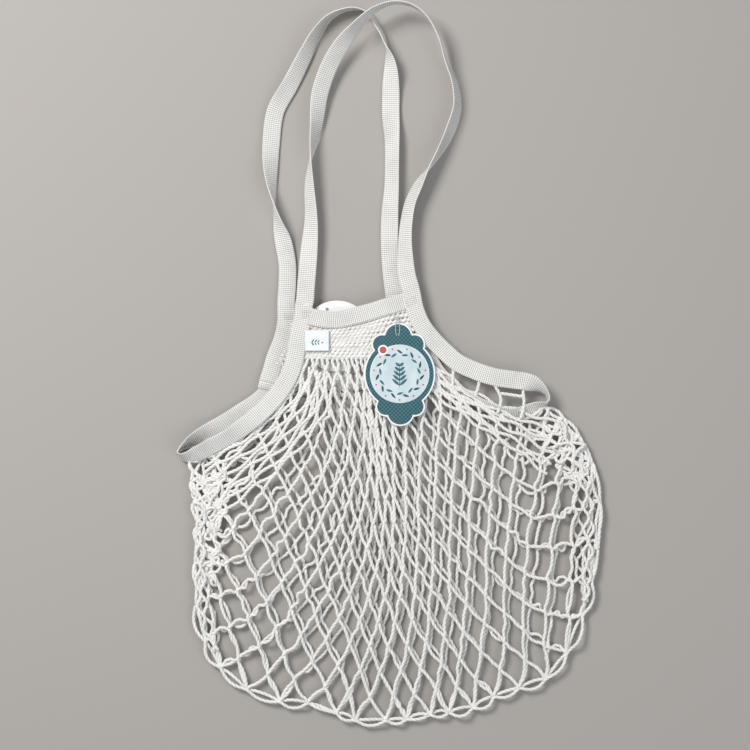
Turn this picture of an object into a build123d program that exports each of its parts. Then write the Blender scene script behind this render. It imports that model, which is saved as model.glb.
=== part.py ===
from build123d import *
import math
import os

import numpy as np

# Knitted cotton net bag with two long tape handles, lying flat on its back.
# +Z is up from the surface it lies on, +Y runs towards the handles, and the
# origin is the centre of the bag's outline at that surface. Millimetres.

# Driving dimensions
TAPE_WIDTH = 16.0
TAPE_THICKNESS = 1.4
NET_THICKNESS = 3.0
BAG_GAP = 7.0                 # clear height between the back and front nets
FOLD_WIDTH = 6.0              # width of the band where the net turns from back to front
HINGE_CLEARANCE = 0.6
FRONT_KNIT_BOTTOM_Y = 8.0     # the dense rib knit below the front mouth ends here
BACK_KNIT_BOTTOM_Y = -20.0    # and here below the back mouth
CARD_THICKNESS = 0.6
CARD_LIFT = 0.7               # the hang tag lies this far above the tapes
TAPE_LIFT = 0.2               # a tape lies this far above the net it is sewn to
THREAD = 0.5

BACK_NET_TOP = NET_THICKNESS
FRONT_NET_BOTTOM = BACK_NET_TOP + BAG_GAP
FRONT_NET_TOP = FRONT_NET_BOTTOM + NET_THICKNESS
BACK_TAPE_TOP = BACK_NET_TOP + TAPE_LIFT + TAPE_THICKNESS
BACK_TAPE_Z = BACK_TAPE_TOP - TAPE_THICKNESS / 2
HINGE_Z = FRONT_NET_TOP + TAPE_LIFT + TAPE_THICKNESS
FRONT_TAPE_Z = HINGE_Z - TAPE_THICKNESS / 2

LABEL_SIZE = (21.5, 18.6)
LABEL_THICKNESS = 0.5
LABEL_CENTRE = (-67.3, 22.3)
LABEL_HINGE_Y = LABEL_CENTRE[1] + LABEL_SIZE[1] / 2 + 0.3
LABEL_BOTTOM = HINGE_Z + 0.4
LABEL_STITCH_INSETS = (9.0, 13.5, 18.0)

TAG_BOTTOM = HINGE_Z + CARD_LIFT
TAG_TOP = TAG_BOTTOM + CARD_THICKNESS
TAG_CENTRE = (6.8, -7.7)
TAG_HOLE = (5.0, 27.4)
TAG_HOLE_RADIUS = 2.7
TAG_ANCHOR_Y = 41.5
# Discs that make up the badge, as offsets from its centre and a radius
TAG_LOBES = [
    (0, 0, 31.9), (-1.2, 33.0, 13.0), (-15.8, 26.6, 9.5), (13.4, 26.6, 9.5),
    (0.6, -33.8, 12.8), (-12.6, -29.0, 9.0), (13.8, -29.0, 9.0),
]
LOOP_THICKNESS = 0.8
STICKER_OFFSET = (-14.9, 21.6)
STICKER_RADIUS = 4.6

CARD_CENTRE = (-49.5, 26.5)   # the round card inside the mouth
CARD_RADIUS = 32.0
CARD_PIN = (-58.5, 50.9)
CARD_BOTTOM = 6.2

SECTION_STEP = 9.0            # spacing of the cross-sections along a tape
OUTLINE_STEP = 12.0

# Line about which the front of the mouth opens, from the left to the right side fold
LIP_HINGE_LEFT = (-172.8, -84.0)
LIP_HINGE_RIGHT = (140.0, -38.0)
# Line through the mouth's two corners, about which the handles lift
MOUTH_LEFT = (-78.3, 56.3)
MOUTH_RIGHT = (18.0, 65.3)


def line_y(start, end, x):
    """Height in Y of the line through two points at a given X."""
    return start[1] + (x - start[0]) * (end[1] - start[1]) / (end[0] - start[0])


def lip_line(x, offset=0.0):
    return (x, line_y(LIP_HINGE_LEFT, LIP_HINGE_RIGHT, x) + offset)


def smooth(stations, step):
    """Points about one step apart on a smooth curve through hand-set stations."""
    points = np.array(stations, float)
    gaps = np.linalg.norm(np.diff(points[:, :3], axis=0), axis=1)
    speeds = np.diff(points, axis=0) / gaps[:, None]
    weighted = speeds[:-1] * gaps[1:, None] + speeds[1:] * gaps[:-1, None]
    inner = weighted / (gaps[:-1] + gaps[1:])[:, None]
    slopes = np.vstack([speeds[:1], inner, speeds[-1:]])
    run = []
    for start, end, gap, leave, arrive in zip(points, points[1:], gaps, slopes, slopes[1:]):
        count = max(1, round(gap / step))
        for t in np.arange(count) / count:
            place = (2 * t**3 - 3 * t**2 + 1) * start + (3 * t**2 - 2 * t**3) * end
            bend = (t**3 - 2 * t**2 + t) * leave + (t**3 - t**2) * arrive
            run.append(place + gap * bend)
    run.append(points[-1])
    return np.array(run)


def tape(stations, step=SECTION_STEP):
    """Woven tape through stations (x, y, z, roll); roll 0 or 180 lies flat, 90 stands on edge."""
    run = smooth(stations, step)
    headings = np.gradient(run[:, :3], axis=0)
    sections = []
    for (x, y, z, roll), heading in zip(run, headings):
        forward = Vector(*heading).normalized()
        right = Vector(forward.Y, -forward.X, 0).normalized()
        up = right.cross(forward)
        turn = math.radians(roll)
        across = right * math.cos(turn) + up * math.sin(turn)
        plane = Plane(origin=(x, y, z), x_dir=across, z_dir=forward)
        sections.append(plane * Rectangle(TAPE_WIDTH, TAPE_THICKNESS))
    return loft(sections, ruled=True)


def flat(points, z, roll):
    """Stations of a tape that lies flat at one height."""
    return [(x, y, z, roll) for x, y in points]


def slab(outline, bottom, height):
    """Flat sheet of one thickness over a closed outline."""
    face = make_face(Polyline(*[tuple(point) for point in outline], close=True))
    return extrude(face.moved(Location((0, 0, bottom))), amount=height, dir=(0, 0, 1))


def disc(x, y, radius, bottom, height):
    return Pos(x, y, bottom) * Cylinder(radius, height, align=(Align.CENTER, Align.CENTER, Align.MIN))


def bar(x, y, size, bottom, turn=0.0):
    """Small upright block, given as length, width and height, turned about Z."""
    block = Box(*size, align=(Align.CENTER, Align.CENTER, Align.MIN))
    return Pos(x, y, bottom) * Rot(0, 0, turn) * block


def along(points, spacing, start=0.0):
    """Places and headings, in degrees, one spacing apart along a line of points."""
    run = smooth(points, 2.0)
    lengths = np.concatenate([[0], np.cumsum(np.linalg.norm(np.diff(run, axis=0), axis=1))])
    places = []
    for distance in np.arange(start, lengths[-1] - start / 2, spacing):
        x = np.interp(distance, lengths, run[:, 0])
        y = np.interp(distance, lengths, run[:, 1])
        ahead_x = np.interp(distance + 1, lengths, run[:, 0])
        ahead_y = np.interp(distance + 1, lengths, run[:, 1])
        places.append((x, y, math.degrees(math.atan2(ahead_y - y, ahead_x - x))))
    return places


# Centre lines of the tapes, seen from above

left_front_line = [
    (-79, 55.4), (-80, 43), (-84, 26.5), (-87, 8), (-90.5, -5), (-97, -17.5),
    (-106.5, -30.4), (-119, -43.2), (-133.4, -55), (-150, -66.4),
]
right_front_line = [
    (17.7, 64.4), (20.5, 51), (26, 37.5), (36.5, 23.5), (49, 11), (57, 4),
    (74, -4.5), (92, -10.3), (110, -13.4), (124.5, -16.5),
]
left_back_line = [
    (-135.5, -42), (-121.5, -32), (-113.5, -17.5), (-106, 5), (-98, 26.5), (-95.5, 40), (-95.4, 53.8),
]
right_back_line = [
    (103, -42.3), (80, -34), (57, -21), (41.5, -7.5), (29.5, 12), (16, 32), (6.5, 48), (2.2, 62.8),
]
front_mouth_line = [
    (-80, 45), (-71, 43.4), (-62.5, 41.4), (-51.5, 40.6), (-38.5, 43), (-18, 48.4),
    (-2.5, 53.6), (10, 57.3), (18.5, 59.5),
]
back_mouth_line = [(-95.5, 45), (-80, 41.5), (-60, 41), (-40, 44), (-20, 48.5), (-6, 53), (4.5, 57)]

# Fold of the net round the bag, from the left side down, across the bottom and up the right side
fold_line = [
    (-184, -93), (-180, -130), (-178, -162), (-181.5, -193), (-178, -222), (-171, -250),
    (-158, -272), (-137, -292), (-114, -302), (-83, -307.5), (-56, -315.5), (-29, -323.5),
    (-3.5, -325.5), (25, -317), (52, -315.5), (79, -308), (115, -293), (139.5, -286.5),
    (154, -267), (166.5, -244), (179, -209), (186.5, -173), (190, -139), (187, -103),
    (179, -79), (166, -58),
]
left_shoulder = [(-176, -88), (-160, -81)]
right_shoulder = [(113, -52), (148, -51)]


# Nets and knits

def make_fold_outline():
    return [tuple(point) for point in smooth(fold_line, OUTLINE_STEP)]


def make_back_net():
    top = [tuple(p) for p in smooth(left_back_line[1:5], OUTLINE_STEP)]
    top = [point for point in top if point[1] < BACK_KNIT_BOTTOM_Y - 2]
    knit_left = (-114.5, BACK_KNIT_BOTTOM_Y)
    knit_right = (54, BACK_KNIT_BOTTOM_Y)
    right_side = [(57, -21), (80, -34), (100, -41.3)]
    outline = left_shoulder + [(-146, -62), (-131, -51)] + top + [knit_left, knit_right]
    outline += right_side + right_shoulder
    outline += list(reversed(make_fold_outline()))
    return slab(outline, 0, NET_THICKNESS)


def make_net_side_fold():
    outer = smooth(fold_line, OUTLINE_STEP)
    headings = np.gradient(outer, axis=0)
    headings /= np.linalg.norm(headings, axis=1)[:, None]
    inward = np.column_stack([-headings[:, 1], headings[:, 0]])
    inner = outer + inward * FOLD_WIDTH
    outline = [tuple(p) for p in outer] + [tuple(p) for p in reversed(inner)]
    return slab(outline, BACK_NET_TOP, BAG_GAP)


def make_front_net_lower():
    gap = HINGE_CLEARANCE
    outline = [lip_line(111, -gap)] + right_shoulder
    outline += list(reversed(make_fold_outline())) + left_shoulder
    outline += [lip_line(-145, -gap)]
    return slab(outline, FRONT_NET_BOTTOM, NET_THICKNESS)


def make_front_net_upper():
    gap = HINGE_CLEARANCE
    left_side = [(-142.5, -61.4), (-133.4, -55), (-119, -43.2), (-106.5, -30.4), (-97, -17.5)]
    right_side = [(36.5, 23.5), (49, 11), (57, 4), (74, -4.5), (92, -10.3), (110, -13.4)]
    knit_edge = FRONT_KNIT_BOTTOM_Y - 0.4
    outline = [lip_line(-142.5, gap)] + left_side + [(-90.5, -5)]
    outline += [(-87.1, knit_edge), (31.4, knit_edge), (31.4, 29.5)]
    outline += right_side + [lip_line(110, gap)]
    return slab(outline, FRONT_NET_BOTTOM, NET_THICKNESS)


def make_front_mouth_knit():
    outline = [tuple(point) for point in smooth(front_mouth_line, OUTLINE_STEP)][:-1]
    outline += [(20.5, 51), (26, 37.5), (31, 30), (31, FRONT_KNIT_BOTTOM_Y)]
    outline += [(-87, FRONT_KNIT_BOTTOM_Y), (-84, 26.5)]
    return slab(outline, FRONT_NET_BOTTOM, NET_THICKNESS)


def make_back_mouth_knit():
    outline = [tuple(point) for point in smooth(back_mouth_line, OUTLINE_STEP)][1:-1]
    outline += [(6.5, 48), (16, 32), (29.5, 12), (41.5, -7.5), (54, BACK_KNIT_BOTTOM_Y + 0.4)]
    outline += [(-114, BACK_KNIT_BOTTOM_Y + 0.4), (-106, 5), (-98, 26.5), (-95.5, 40)]
    return slab(outline, 0, NET_THICKNESS)


# Tapes

def make_left_side_tape_back():
    fold = [
        (-151, -67, FRONT_TAPE_Z, 0), (-163, -73.4, 13.4, 10), (-174.5, -79, 12, 40),
        (-184, -82.8, 9.6, 75), (-190.6, -81.6, 8.8, 90), (-192.8, -77.8, 8.8, 90),
        (-190, -74.2, 8.8, 90), (-184, -71.6, 8.7, 97), (-175, -67.2, 7.2, 130),
        (-164, -60.5, 5.2, 160), (-151.4, -52.6, 4.1, 175),
    ]
    return tape(fold + flat(left_back_line, BACK_TAPE_Z, 180), 6.0)


def make_right_side_tape_back():
    fold = [
        (126.6, -17.4, FRONT_TAPE_Z, 180), (132, -19.6, 13.2, 168), (137.5, -23.5, 11.3, 130),
        (141, -27.3, 9.2, 98), (142, -30.2, 8.8, 90), (140.2, -33, 8.8, 90),
        (135.5, -35.3, 8.6, 85), (129, -38, 8.0, 50), (121, -41, 6.0, 15), (112, -42.9, 4.2, 2),
    ]
    return tape(fold + flat(right_back_line, BACK_TAPE_Z, 0), 6.0)


def above_mouth_line(bottom):
    """Block over everything above the line that the handles turn about."""
    turn = math.degrees(math.atan2(MOUTH_RIGHT[1] - MOUTH_LEFT[1], MOUTH_RIGHT[0] - MOUTH_LEFT[0]))
    block = Box(200, 60, 5, align=(Align.CENTER, Align.MIN, Align.MIN))
    return Pos(*MOUTH_LEFT, bottom - 1) * Rot(0, 0, turn) * Pos(0, -HINGE_CLEARANCE, 0) * block


def make_left_side_tape_front():
    return tape(flat(left_front_line, FRONT_TAPE_Z, 0))


def make_right_side_tape_front():
    return tape(flat(right_front_line, FRONT_TAPE_Z, 180))


def make_front_mouth_tape():
    band = tape(flat(front_mouth_line, FRONT_TAPE_Z, 0))
    band = band - make_left_side_tape_front() - make_right_side_tape_front()
    return band - above_mouth_line(FRONT_NET_TOP)


def make_back_mouth_tape():
    band = tape(flat(back_mouth_line, BACK_TAPE_Z, 0))
    band = band - make_left_side_tape_back() - make_right_side_tape_back()
    return band - above_mouth_line(BACK_NET_TOP)


def make_front_handle_tape():
    return tape([
        (-78.3, 57.6, FRONT_TAPE_Z, 0), (-77.5, 68, 13.3, 0), (-75, 99, 9.5, 10),
        (-73, 130, 7.5, 40), (-74.5, 168, 8.8, 63), (-73.5, 185, 9.4, 85),
        (-68.5, 215, 9.2, 130), (-64, 248, 10.5, 158), (-58.5, 264, 12.5, 158),
        (-47, 285, 16.5, 148), (-33.5, 301, 21.5, 125), (-14.5, 318, 25.4, 100),
        (2.5, 323.6, 25.4, 90), (16, 321.8, 24.5, 88), (29.5, 313.5, 22, 85),
        (40.5, 296.5, 18, 85), (48.5, 273, 13, 80), (56.5, 252.5, 9.8, 70),
        (58.5, 235, 9, 65), (52, 212, 8.8, 62), (42.5, 193, 9.1, 75),
        (34, 179.5, 9.4, 90), (23.5, 162.5, 8.8, 120), (16.5, 147, 8.8, 127),
        (13, 130, 9.4, 132), (11.8, 102, 11, 145), (13.2, 82, 12.8, 172),
        (16.8, 68.2, FRONT_TAPE_Z, 180),
    ])


def make_back_handle_tape():
    return tape([
        (-95.4, 56, BACK_TAPE_Z, 0), (-94.5, 72.5, 2.8, 0), (-94.5, 92, 1.8, 0),
        (-98, 111, 3.4, 14), (-103.5, 132, 8.4, 66), (-106, 143.5, 9, 85),
        (-109, 168, 7.8, 128), (-109, 200, 3.8, 163), (-104.5, 231, 3.6, 165),
        (-92, 253, 5, 154), (-78.5, 279, 7, 140), (-67.5, 300, 8.2, 118),
        (-57.5, 313, 8.9, 100), (-47, 319, 9, 90), (-33.5, 321.4, 8.9, 86),
        (-21.5, 318, 8.5, 76), (-14.5, 308, 8.4, 74), (-9, 298.5, 8.5, 76),
        (-5.5, 288.5, 8.8, 84), (-2, 275, 8, 120), (-1, 250, 3.2, 166),
        (-1, 226, 2.6, 172), (0, 206, 5.2, 148), (0, 185, 5.6, 143),
        (-0.5, 159, 5.4, 146), (-1.8, 140, 4.2, 160), (-2, 111, 1.8, 178),
        (-0.5, 85, 2.2, 180), (2, 64.8, BACK_TAPE_Z, 180),
    ])


# Sewing threads: short raised stitches that hold the tapes, seams and label

def make_bar_tacks(corners, bottom):
    """A dense bar of thread across each mouth corner."""
    bars = []
    for x, y, turn in corners:
        for row in (-4.5, -1.5, 1.5, 4.5):
            shift = math.radians(turn)
            place = (x - row * math.sin(shift), y + row * math.cos(shift))
            bars.append(bar(*place, (9, 0.8, THREAD), bottom, turn))
    return Compound(children=bars)


def make_front_mouth_stitches():
    edge = [(x + 0.8, y - TAPE_WIDTH / 2 + 1.8) for x, y in front_mouth_line[1:-2]]
    stitches = [bar(x, y, (2.6, 0.6, THREAD), HINGE_Z, turn) for x, y, turn in along(edge, 4.0, 3.0)]
    return Compound(children=stitches)


def make_lap_seam_stitches():
    x, y = -116.5, -22.5
    rows = [bar(x + 3 * row, y + 4.5 * row, (11, 0.8, THREAD), BACK_TAPE_TOP, -32) for row in (-1, 0, 1)]
    return Compound(children=rows)


def make_label_stitches():
    label_left = LABEL_CENTRE[0] - LABEL_SIZE[0] / 2
    stitches = []
    for inset in LABEL_STITCH_INSETS:
        x, y = label_left + inset, LABEL_HINGE_Y + 0.9
        post = bar(x, y, (1.2, 0.6, 1.2), FRONT_NET_TOP)
        stitches.append(post + bar(x, y, (2.4, 0.7, THREAD), FRONT_NET_TOP + 1.2))
    return Compound(children=stitches)


# Label, hang tag and inner card

def make_sewn_label():
    return bar(*LABEL_CENTRE, (*LABEL_SIZE, LABEL_THICKNESS), LABEL_BOTTOM)


def make_hang_tag_card():
    """Badge-shaped card: a round middle with lobes at the top and bottom, and a hole."""
    x, y = TAG_CENTRE
    lobes = [
        disc(x + across, y + up, radius, TAG_BOTTOM, CARD_THICKNESS)
        for across, up, radius in TAG_LOBES
    ]
    card = lobes[0]
    for lobe in lobes[1:]:
        card += lobe
    return card - disc(*TAG_HOLE, TAG_HOLE_RADIUS, TAG_BOTTOM - 1, 3)


def make_hang_tag_loop():
    """Nylon loop from the card's hole, over its top edge, to the anchor in the knit."""
    bottom = TAG_TOP + 0.1
    x, hole_y = TAG_HOLE
    length = TAG_ANCHOR_Y - hole_y
    strand = bar(x, hole_y + length / 2, (1.0, length, LOOP_THICKNESS), bottom)
    return strand + disc(x, hole_y, 2.0, bottom, LOOP_THICKNESS)


def make_hang_tag_sticker():
    x, y = TAG_CENTRE[0] + STICKER_OFFSET[0], TAG_CENTRE[1] + STICKER_OFFSET[1]
    return disc(x, y, STICKER_RADIUS, TAG_TOP, 0.2)


def make_tag_pin_anchor():
    bottom = FRONT_NET_TOP + 0.4
    foot = bar(TAG_HOLE[0], TAG_ANCHOR_Y + 2.0, (7.0, 1.6, 1.2), bottom)
    return foot + disc(TAG_HOLE[0], TAG_ANCHOR_Y + 2.0, 0.9, bottom, 2.4)


def make_inner_card():
    blank = disc(*CARD_CENTRE, CARD_RADIUS, CARD_BOTTOM, CARD_THICKNESS)
    return blank - disc(*CARD_PIN, 1.3, CARD_BOTTOM - 1, 3)


def make_inner_card_pin():
    return disc(*CARD_PIN, 0.9, BACK_TAPE_TOP, 3.6)


front_corners = [(-76.5, 46.5, 97), (17.0, 57.5, 110)]
back_corners = [(-93.0, 45.0, 95), (4.0, 55.0, 112)]

nodes = {
    "back_net": make_back_net,
    "net_side_fold": make_net_side_fold,
    "front_net_lower": make_front_net_lower,
    "back_mouth_knit": make_back_mouth_knit,
    "back_mouth_tape": make_back_mouth_tape,
    "left_side_tape_back": make_left_side_tape_back,
    "right_side_tape_back": make_right_side_tape_back,
    "back_bar_tacks": lambda: make_bar_tacks(back_corners, BACK_TAPE_TOP),
    "lap_seam_stitches": make_lap_seam_stitches,
    "inner_card_pin": make_inner_card_pin,
    "front_net_upper": make_front_net_upper,
    "front_mouth_knit": make_front_mouth_knit,
    "front_mouth_tape": make_front_mouth_tape,
    "left_side_tape_front": make_left_side_tape_front,
    "right_side_tape_front": make_right_side_tape_front,
    "front_bar_tacks": lambda: make_bar_tacks(front_corners, HINGE_Z),
    "front_mouth_stitches": make_front_mouth_stitches,
    "label_stitches": make_label_stitches,
    "front_handle_tape": make_front_handle_tape,
    "back_handle_tape": make_back_handle_tape,
    "tag_pin_anchor": make_tag_pin_anchor,
    "hang_tag_card": make_hang_tag_card,
    "hang_tag_loop": make_hang_tag_loop,
    "hang_tag_sticker": make_hang_tag_sticker,
    "sewn_label": make_sewn_label,
    "inner_card": make_inner_card,
}

os.makedirs("parts", exist_ok=True)
for name, make in nodes.items():
    export_step(make(), f"parts/{name}.step")
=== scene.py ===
"""Blender scene of the knitted net bag: cords, knit, tapes, stitches, tag, label and card."""

import math

import bpy
import numpy as np
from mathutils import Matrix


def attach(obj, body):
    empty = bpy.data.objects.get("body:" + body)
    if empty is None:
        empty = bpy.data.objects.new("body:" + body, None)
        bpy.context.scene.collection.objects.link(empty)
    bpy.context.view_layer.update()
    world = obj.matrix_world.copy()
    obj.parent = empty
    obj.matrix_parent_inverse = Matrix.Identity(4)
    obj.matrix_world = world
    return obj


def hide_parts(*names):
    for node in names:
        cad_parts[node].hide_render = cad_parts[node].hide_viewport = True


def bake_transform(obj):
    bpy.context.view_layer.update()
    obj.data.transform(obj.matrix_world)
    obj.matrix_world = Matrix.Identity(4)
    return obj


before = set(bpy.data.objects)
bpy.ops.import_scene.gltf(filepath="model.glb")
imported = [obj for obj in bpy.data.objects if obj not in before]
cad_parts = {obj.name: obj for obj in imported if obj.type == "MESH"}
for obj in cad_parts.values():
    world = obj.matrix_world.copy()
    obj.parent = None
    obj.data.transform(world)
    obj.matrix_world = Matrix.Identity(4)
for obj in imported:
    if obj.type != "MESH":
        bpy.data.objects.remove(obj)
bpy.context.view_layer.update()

MM = 0.001

TAPE_WIDTH = 16.0
TAPE_THICKNESS = 1.3
RIB_PITCH = 1.75
CORD_RADIUS = 1.46
PLY_PITCH = 9.0
LEG = 22.0
HINGE_Z = 14.6
FRONT_TAPE_Z = 13.9
BACK_TAPE_Z = 3.9
FRONT_KNIT_BOTTOM_Y = 8.0
BACK_KNIT_BOTTOM_Y = -20.0


# ---------------------------------------------------------------- curves

def smooth(stations, step):
    """Points about one step apart on a smooth curve through given stations."""
    points = np.array(stations, float)
    gaps = np.linalg.norm(np.diff(points[:, :3], axis=0), axis=1)
    speeds = np.diff(points, axis=0) / gaps[:, None]
    weighted = speeds[:-1] * gaps[1:, None] + speeds[1:] * gaps[:-1, None]
    inner = weighted / (gaps[:-1] + gaps[1:])[:, None]
    slopes = np.vstack([speeds[:1], inner, speeds[-1:]])
    run = []
    for start, end, gap, leave, arrive in zip(points, points[1:], gaps, slopes, slopes[1:]):
        count = max(1, round(gap / step))
        t = (np.arange(count) / count)[:, None]
        place = (2 * t**3 - 3 * t**2 + 1) * start + (3 * t**2 - 2 * t**3) * end
        bend = (t**3 - 2 * t**2 + t) * leave + (t**3 - t**2) * arrive
        run.append(place + gap * bend)
    run.append(points[-1:])
    return np.vstack(run)


def lengths_along(points):
    """Length along a polyline at each of its points; a fourth column, the roll, doesn't count."""
    steps = np.linalg.norm(np.diff(points[:, :3], axis=0), axis=1)
    return np.concatenate([[0], np.cumsum(steps)])


def even(points, count):
    """That many points evenly spaced along a polyline."""
    points = np.asarray(points, float)
    lengths = lengths_along(points)
    at = np.linspace(0, lengths[-1], count)
    return np.column_stack([np.interp(at, lengths, column) for column in points.T])


def at_shares(points, shares):
    """Points at given shares of the length of a polyline."""
    lengths = lengths_along(points)
    at = np.array(shares) * lengths[-1]
    return np.column_stack([np.interp(at, lengths, column) for column in points.T])


def length_of(points):
    return float(np.linalg.norm(np.diff(np.asarray(points)[:, :3], axis=0), axis=1).sum())


def unit(vector):
    return vector / max(float(np.linalg.norm(vector)), 1e-9)


def ease(t):
    t = np.clip(t, 0, 1)
    return t * t * (3 - 2 * t)


# ---------------------------------------------------------------- meshes

class Skin:
    """Vertices, faces and UVs of one piece, gathered from several shapes, in millimetres."""

    def __init__(self):
        self.points, self.faces, self.uvs = [], [], []
        self.count = 0

    def add(self, points, faces, uvs):
        self.points.append(np.asarray(points, float))
        self.faces += [[corner + self.count for corner in face] for face in faces]
        self.uvs += uvs
        self.count += len(points)

    def grid(self, rings, cap=True, v_scale=1.0, u_at=None, v_at=None):
        """Closed rings joined one to the next, with flat end caps."""
        rings = np.asarray(rings)
        rows, around, _ = rings.shape
        u_at = np.arange(around + 1) / around if u_at is None else u_at
        v_at = np.arange(rows) * v_scale if v_at is None else v_at
        faces, uvs = [], []
        for row in range(rows - 1):
            low, high = row * around, (row + 1) * around
            for k in range(around):
                n = (k + 1) % around
                faces.append([low + k, low + n, high + n, high + k])
                uvs += [
                    (u_at[k], v_at[row]), (u_at[k + 1], v_at[row]),
                    (u_at[k + 1], v_at[row + 1]), (u_at[k], v_at[row + 1]),
                ]
        if cap:
            last = (rows - 1) * around
            faces.append(list(range(around))[::-1])
            faces.append([last + k for k in range(around)])
            uvs += [(u_at[k], v_at[0]) for k in range(around)][::-1]
            uvs += [(u_at[k], v_at[-1]) for k in range(around)]
        self.add(rings.reshape(-1, 3), faces, uvs)

    def tube(self, path, radius=CORD_RADIUS, sides=8, step=1.5, ply=0.11, start=0.0):
        """Round cord of two twisted plies along a path."""
        total = length_of(path)
        path = even(path, max(3, round(total / step) + 1))
        ahead = np.gradient(path, axis=0)
        ahead /= np.linalg.norm(ahead, axis=1)[:, None] + 1e-12
        side = unit(np.cross(ahead[0], (0.03, 0.02, 1.0)))
        angles = np.arange(sides) * 2 * math.pi / sides
        spacing = total / (len(path) - 1)
        rings = []
        for row, (place, heading) in enumerate(zip(path, ahead)):
            side = unit(side - heading * float(side @ heading))
            up = np.cross(heading, side)
            turns = (row * spacing + start) / PLY_PITCH
            reach = radius * (1 + ply * np.cos(2 * angles - 4 * math.pi * turns))
            end = min(row, len(path) - 1 - row)
            reach = reach * (0.72 if end == 0 else 1.0)
            sideways = np.outer(reach * np.cos(angles), side)
            rings.append(place + sideways + np.outer(reach * np.sin(angles), up))
        v_at = (np.arange(len(path)) * spacing + start) / PLY_PITCH
        self.grid(rings, v_at=v_at)

    def build(self, name, material, smooth_faces=True):
        mesh = bpy.data.meshes.new(name)
        mesh.from_pydata((np.vstack(self.points) * MM).tolist(), [], self.faces)
        layer = mesh.uv_layers.new(name="UVMap")
        layer.data.foreach_set("uv", np.array(self.uvs, np.float32).ravel())
        mesh.polygons.foreach_set("use_smooth", [smooth_faces] * len(mesh.polygons))
        mesh.materials.append(material)
        mesh.validate()
        mesh.update()
        piece = bpy.data.objects.new(name, mesh)
        bpy.context.scene.collection.objects.link(piece)
        return piece


def ribbon(skin, stations, width=TAPE_WIDTH, thickness=TAPE_THICKNESS, lift=0.0, cup=0.0):
    """Ribbed woven tape through stations (x, y, z, roll), with firm edges."""
    run = smooth(stations, 1.0)
    total = length_of(run)
    run = even(run, round(total / (RIB_PITCH / 4)) + 1)
    ahead = np.gradient(run[:, :3], axis=0)
    kernel = np.ones(9) / 9
    padded = np.pad(ahead, ((4, 4), (0, 0)), mode="edge")
    ahead = np.column_stack([np.convolve(column, kernel, "valid") for column in padded.T])
    ahead /= np.linalg.norm(ahead, axis=1)[:, None]
    right = np.column_stack([ahead[:, 1], -ahead[:, 0], np.zeros(len(run))])
    right /= np.linalg.norm(right, axis=1)[:, None]
    up = np.cross(right, ahead)
    roll = np.radians(run[:, 3])[:, None]
    across = right * np.cos(roll) + up * np.sin(roll)
    normal = up * np.cos(roll) - right * np.sin(roll)

    face = np.array([-0.93, -0.86, -0.7, -0.5, -0.3, -0.1, 0.1, 0.3, 0.5, 0.7, 0.86, 0.93])
    w = np.concatenate([[-1.0], face, [1.0], face[::-1]])
    sign = np.concatenate([[0], np.ones(len(face)), [0], -np.ones(len(face))])
    shape = np.where(np.abs(w) > 0.9, 0.86, np.where(np.abs(w) > 0.8, 0.84, 1.0)) * 0.5
    u_at = np.append((w + 1) / 2, 0.0)
    along = np.arange(len(run)) * total / (len(run) - 1)
    sway = 0.35 * np.sin(along / 23.0) + 0.25 * np.sin(along / 9.1 + 1.0)
    wave = np.cos(2 * math.pi * along / RIB_PITCH + sway)
    edge_wave = np.cos(4 * math.pi * along / RIB_PITCH)
    rings = []
    for row in range(len(run)):
        rib = np.where(np.abs(w) < 0.8, 0.2 * wave[row], 0.05 * edge_wave[row])
        height = sign * (shape * thickness + rib) + cup * (w * w - 0.4)
        reach = w * (width / 2 + 0.12 * edge_wave[row] * (np.abs(w) > 0.99))
        rings.append(
            run[row, :3] + np.outer(reach, across[row]) + np.outer(height + lift, normal[row])
        )
    skin.grid(rings, u_at=u_at, v_at=along / TAPE_WIDTH)


def flat(points, z, roll):
    return [(x, y, z, roll) for x, y in points]


# ---------------------------------------------------------------- materials

def material(name, color, roughness, **sockets):
    """New material and its nodes; sockets are the shader's own constants."""
    made = bpy.data.materials.new(name)
    made.use_nodes = True
    shader = made.node_tree.nodes["Principled BSDF"]
    shader.inputs["Base Color"].default_value = (*color, 1)
    shader.inputs["Roughness"].default_value = roughness
    for key, value in sockets.items():
        shader.inputs[key.replace("_", " ")].default_value = value
    return made, made.node_tree, shader


def node(tree, kind, inputs=(), **settings):
    """A node with its settings; inputs are (socket, value or source socket)."""
    made = tree.nodes.new(kind)
    for key, value in settings.items():
        setattr(made, key, value)
    for socket, value in inputs:
        if isinstance(value, bpy.types.NodeSocket):
            tree.links.new(value, made.inputs[socket])
        else:
            made.inputs[socket].default_value = value
    return made


def math_node(tree, operation, first, second=0.0):
    made = node(tree, "ShaderNodeMath", [(0, first), (1, second)], operation=operation)
    return made.outputs[0]


def times(tree, first, second):
    return math_node(tree, "MULTIPLY", first, second)


def plus(tree, first, second):
    return math_node(tree, "ADD", first, second)


def mixed(tree, factor, dark, light):
    made = node(tree, "ShaderNodeMix", data_type="RGBA")
    for socket, value in ((0, factor), (6, dark), (7, light)):
        if isinstance(value, bpy.types.NodeSocket):
            tree.links.new(value, made.inputs[socket])
        else:
            made.inputs[socket].default_value = value if socket == 0 else (*value, 1)
    return made.outputs[2]


def noise(tree, scale, detail=2.0):
    place = node(tree, "ShaderNodeTexCoord").outputs["Object"]
    made = node(
        tree, "ShaderNodeTexNoise", [("Vector", place), ("Scale", scale), ("Detail", detail)]
    )
    return made.outputs["Fac"]


def uv_parts(tree):
    place = node(tree, "ShaderNodeTexCoord").outputs["UV"]
    split = node(tree, "ShaderNodeSeparateXYZ", [(0, place)])
    return split.outputs[0], split.outputs[1]


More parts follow.
